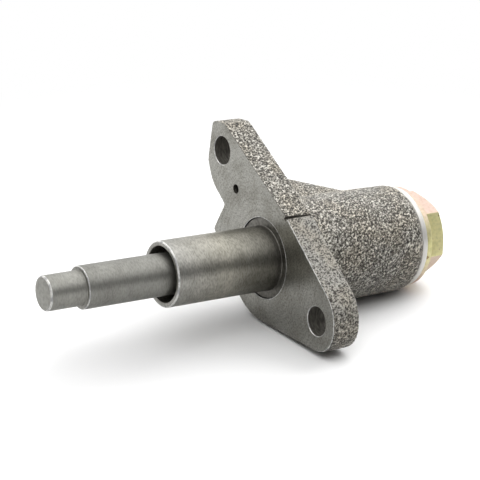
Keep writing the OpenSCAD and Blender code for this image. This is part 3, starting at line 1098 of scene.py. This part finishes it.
def soft_aluminium():
    """Whitish aluminium, dulled in streaks round the rim."""
    material, tree, shader, place = start_finish("dull_aluminium", 0.85, 0.45)
    dull = speckle(tree, place, 1.2, 3.0, stretch=(0.5, 3, 3))
    tone = ramp(tree, dull, [(0.3, (0.84, 0.815, 0.765)), (0.65, (0.96, 0.945, 0.915))])
    paint(tree, shader, tone, bump(tree, dull, 0.03, 0.4))
    return material


washer = turned("washer", rounded([
    (washer_high.x, washer_bore_r, 0.1),
    (washer_high.x, washer_high.y, 0.35),
    (washer_low.x, washer_high.y, 0.35),
    (washer_low.x, washer_bore_r, 0.1),
]))
shade(washer)
dress(washer, "sealing_washer", soft_aluminium())

# %% [markdown]
# ## Rear plug
# The plug is turned from hexagon bar and plated with yellow zinc. The collar, the thread and the nose come
# off the lathe, and the thread is a radius that changes with the turn. The hexagon could stay a plain
# prism, but a real one is chamfered. So its end is trimmed by a cone, which leaves the curved edges of a
# bolt head, and its corners are then bevelled.

# %% Plug
plug_low, plug_high = [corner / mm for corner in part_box("rear_plug")]
plug_collar_r = 16.0
hex_across_flats = 24.0
hex_corner_r = hex_across_flats / math.sqrt(3)
hex_turn = math.radians(40.5)
hex_front = -54.0
shank_r = 11.9
thread_front = -42.0
thread_runout = (-51.5, -50.5)
thread_lead = 0.5
thread_pitch = 1.5
thread_depth = 0.8
same_radius = 0.01
under_collar = 0.1
nose_r = 9.0
nose_bore_r = 6.0
port_r = 1.5
head_end_trim = 0.5
head_overlap = 0.6
head_bevel = 0.3
head_bevel_from = math.radians(22)


def zinc_thread(x, radius, angle):
    """Radius of the plug with a V thread cut into its shank."""
    if abs(radius - shank_r) > same_radius:
        return radius
    turn = (x / thread_pitch - angle / (2 * math.pi)) % 1
    fade = smooth_step(thread_front, thread_front - thread_pitch, x) * smooth_step(*thread_runout, x)
    return radius - thread_depth * abs(2 * turn - 1) * fade


def shank_points(start, end, step=0.125):
    """Closely spaced points along the shank, enough to carry the thread."""
    count = round(abs(end - start) / step)
    return [(start + (end - start) * i / count, shank_r) for i in range(count + 1)]


def plug_body():
    """Nose, threaded shank and collar in one turned piece, with ports drilled across the nose."""
    nose = rounded([(thread_front, 0, 0), (thread_front, nose_bore_r, 0.2), (plug_high.x, nose_bore_r, 0.2),
                    (plug_high.x, nose_r, 0.3), (thread_front, nose_r, 0)])
    lead = [(thread_front, shank_r - thread_lead)]
    shank = shank_points(thread_front - thread_lead, washer_low.x + under_collar)
    collar = rounded([(washer_low.x, shank_r, 0), (washer_low.x, plug_collar_r, 0.4),
                      (hex_front, plug_collar_r, 0.5), (hex_front, 0, 0)])
    body = turned("plug", nose + lead + shank + collar, thread=zinc_thread)
    middle = (chamber_front + thread_front) / 2
    for across_nose in (Vector((0, nose_r + overrun, 0)), Vector((0, 0, nose_r + overrun))):
        station = Vector((middle, 0, 0))
        combine(body, rod("port", port_r, station - across_nose, station + across_nose, 48))
    return body


def hexagon_head():
    """A hexagon whose end is trimmed by a cone and whose edges are softened."""
    turns = [hex_turn + k * math.pi / 3 for k in range(6)]
    corners = [(hex_corner_r * math.cos(turn), hex_corner_r * math.sin(turn)) for turn in turns]
    ends = (plug_low.x, hex_front + head_overlap)
    points = [Vector(across(x, corner)) * mm for x in ends for corner in corners]
    faces = [tuple(range(6)), tuple(range(11, 5, -1))]
    faces += [(k, k + 6, (k + 1) % 6 + 6, (k + 1) % 6) for k in range(6)]
    head = weld(mesh_piece("head", points, faces))
    # The trimming cone slopes by 30 degrees and runs on past the corners
    flat_end_r = hex_across_flats / 2 - head_end_trim
    cone = (hex_corner_r - flat_end_r) / math.sqrt(3)
    trim_r = hex_corner_r + math.sqrt(3)
    trim_front = hex_front + 2
    trim = turned("trim", [(plug_low.x, 0), (plug_low.x, flat_end_r), (plug_low.x + cone + 1, trim_r),
                           (trim_front, trim_r), (trim_front, 0)], 96)
    combine(head, trim, "INTERSECT")
    soft_edges = head.modifiers.new("soft_edges", "BEVEL")
    soft_edges.width = head_bevel * mm
    soft_edges.segments = 3
    soft_edges.angle_limit = head_bevel_from
    set_modifiers(head)
    return head


plug = plug_body()
combine(plug, hexagon_head(), "UNION")
clear_needles(plug)
shade(plug, 30)
print("plug:", len(plug.data.polygons), "faces")

# %% [markdown]
# ## Yellow zinc
# Yellow chromate is a very thin coloured film, so its tint changes with its thickness: straw on the flats,
# rose and pale green beside it. A thin-film shader would give that colour by viewing angle, but the tint of
# a plated part belongs to the part. So it is painted by noise and by which way a face looks.

# %% Zinc finish
def yellow_zinc():
    """Straw on the upright faces, rose on the level ones, mottled, with a few brown spots."""
    material, tree, shader, place = start_finish("yellow_zinc_plate", 0.65, 0.34)
    film = speckle(tree, place, 6.0, 3.0)
    mottle = speckle(tree, place, 1.1, 3.0)
    facing = add_node(tree, "ShaderNodeNewGeometry", {}).outputs["Normal"]
    upwards = add_node(tree, "ShaderNodeVectorMath", {0: facing, 1: (0, 0, 1)}, operation="DOT_PRODUCT")
    levelness = math_of(tree, "ABSOLUTE", upwards.outputs["Value"], 0.0)
    by_face = math_of(tree, "MULTIPLY", levelness, 0.75)
    by_film = math_of(tree, "MULTIPLY", film, 0.35)
    rose = math_of(tree, "ADD", by_face, by_film)
    tone = ramp(tree, rose, [
        (0.25, (0.936, 0.871, 0.442)),
        (0.45, (0.96, 0.871, 0.52)),
        (0.62, (0.91, 0.728, 0.559)),
        (0.85, (0.858, 0.624, 0.533)),
    ])
    cloudy = ramp(tree, mottle, [(0.3, (0.82, 0.84, 0.78)), (0.6, (1, 1, 1))])
    tone = blend(tree, 1.0, tone, cloudy, "MULTIPLY")
    spots = ramp(tree, speckle(tree, place, 2.4, 2.0), [(0.67, (1, 1, 1)), (0.76, (0.40, 0.27, 0.20))])
    tone = blend(tree, 1.0, tone, spots, "MULTIPLY")
    paint(tree, shader, tone, bump(tree, mottle, 0.02, 0.3))
    return material


dress(plug, "rear_plug", yellow_zinc())

# %% [markdown]
# ## Springs
# Two coil springs work out of sight: a long one that pushes the plunger out and a tiny one that holds the
# check ball on its seat. Blender's Screw modifier winds a wire with one pitch, but the ends of a real
# spring lie flat. So the wire is laid ring by ring, with a pitch that changes near both ends.

# %% Coils
main_wire = 1.2
main_turns = 22
ball_wire = 0.3
ball_turns = 4
closed_pitch = 1.05


def spring_wire_steel():
    """Drawn wire, grey with a faint blue."""
    material, tree, shader, place = start_finish("spring_wire", 1.0, 0.32)
    drawn = speckle(tree, place, 0.8, 3.0)
    tone = ramp(tree, drawn, [(0.3, grey(0.26)), (0.7, (0.40, 0.40, 0.41))])
    paint(tree, shader, tone, bump(tree, drawn, 0.01, 0.4))
    return material


def coil(name, coil_r, wire, turns, start, end, per_turn=40, sides=12):
    """A round wire wound about the axis between two stations, with one flat turn at each end."""
    flat_pitch = wire * closed_pitch
    open_pitch = (end - start - 2 * flat_pitch) / (turns - 2)
    points = []
    rings = turns * per_turn
    for i in range(rings + 1):
        t = i / per_turn
        from_end = turns - t
        lead = flat_pitch + open_pitch * (t - 1)
        if t < 1:
            lead = flat_pitch * t
        elif from_end < 1:
            lead = end - start - flat_pitch * from_end
        angle = 2 * math.pi * t
        for k in range(sides):
            round_wire = 2 * math.pi * k / sides
            r = coil_r + wire / 2 * math.cos(round_wire)
            x = start + lead + wire / 2 * math.sin(round_wire)
            points.append(Vector((x, r * math.cos(angle), r * math.sin(angle))) * mm)
    faces = []
    for i in range(rings):
        a, b = i * sides, (i + 1) * sides
        faces += [(a + k, b + k, b + (k + 1) % sides, a + (k + 1) % sides) for k in range(sides)]
    faces += [tuple(range(sides)), tuple(rings * sides + k for k in reversed(range(sides)))]
    piece = weld(mesh_piece(name, points, faces))
    shade(piece, 60)
    return piece


def wound_like(name, node, wire, turns):
    """A coil that fills the box of a spring's node."""
    low, high = [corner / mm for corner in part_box(node)]
    piece = coil(name, high.y - wire / 2, wire, turns, low.x + wire / 2, high.x - wire / 2)
    dress(piece, node, spring_wire)
    return piece, low.x * mm, high.x * mm


spring_wire = spring_wire_steel()
main_spring, rear_end, front_end = wound_like("plunger_spring", "main_spring", main_wire, main_turns)
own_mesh(main_spring)
ball_spring, rear_end, front_end = wound_like("valve_spring", "ball_spring", ball_wire, ball_turns)
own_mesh(ball_spring)

# %% [markdown]
# ## Hidden pieces
# The stop ring, the valve seat, the ball and its cage never show from outside. Their solids are right as
# they are, so they only get finishes: blackened ring, ground seat, polished ball and pressed sheet.

# %% Finishes of the hidden pieces
def plain_metal(name, dark, light, roughness, size):
    """Bare metal whose tone wanders between two colours."""
    material, tree, shader, place = start_finish(name, 1.0, roughness)
    wander = speckle(tree, place, size, 3.0)
    tone = ramp(tree, wander, [(0.3, dark), (0.7, light)])
    paint(tree, shader, tone, bump(tree, wander, 0.01, 0.3))
    return material


hidden_finishes = {
    "stop_ring": plain_metal("blackened_ring", grey(0.10), grey(0.20), 0.42, 0.8),
    "valve_seat": plain_metal("ground_seat", (0.38, 0.38, 0.36), (0.52, 0.52, 0.50), 0.3, 0.6),
    "check_ball": plain_metal("polished_ball", grey(0.70), grey(0.78), 0.08, 1.5),
    "ball_cage": plain_metal("pressed_sheet", (0.44, 0.42, 0.36), (0.58, 0.56, 0.50), 0.35, 1.0),
}
for node, finish in hidden_finishes.items():
    frame["nodes"][node].data.materials.clear()
    frame["nodes"][node].data.materials.append(finish)
print("hidden pieces:", ", ".join(hidden_finishes))
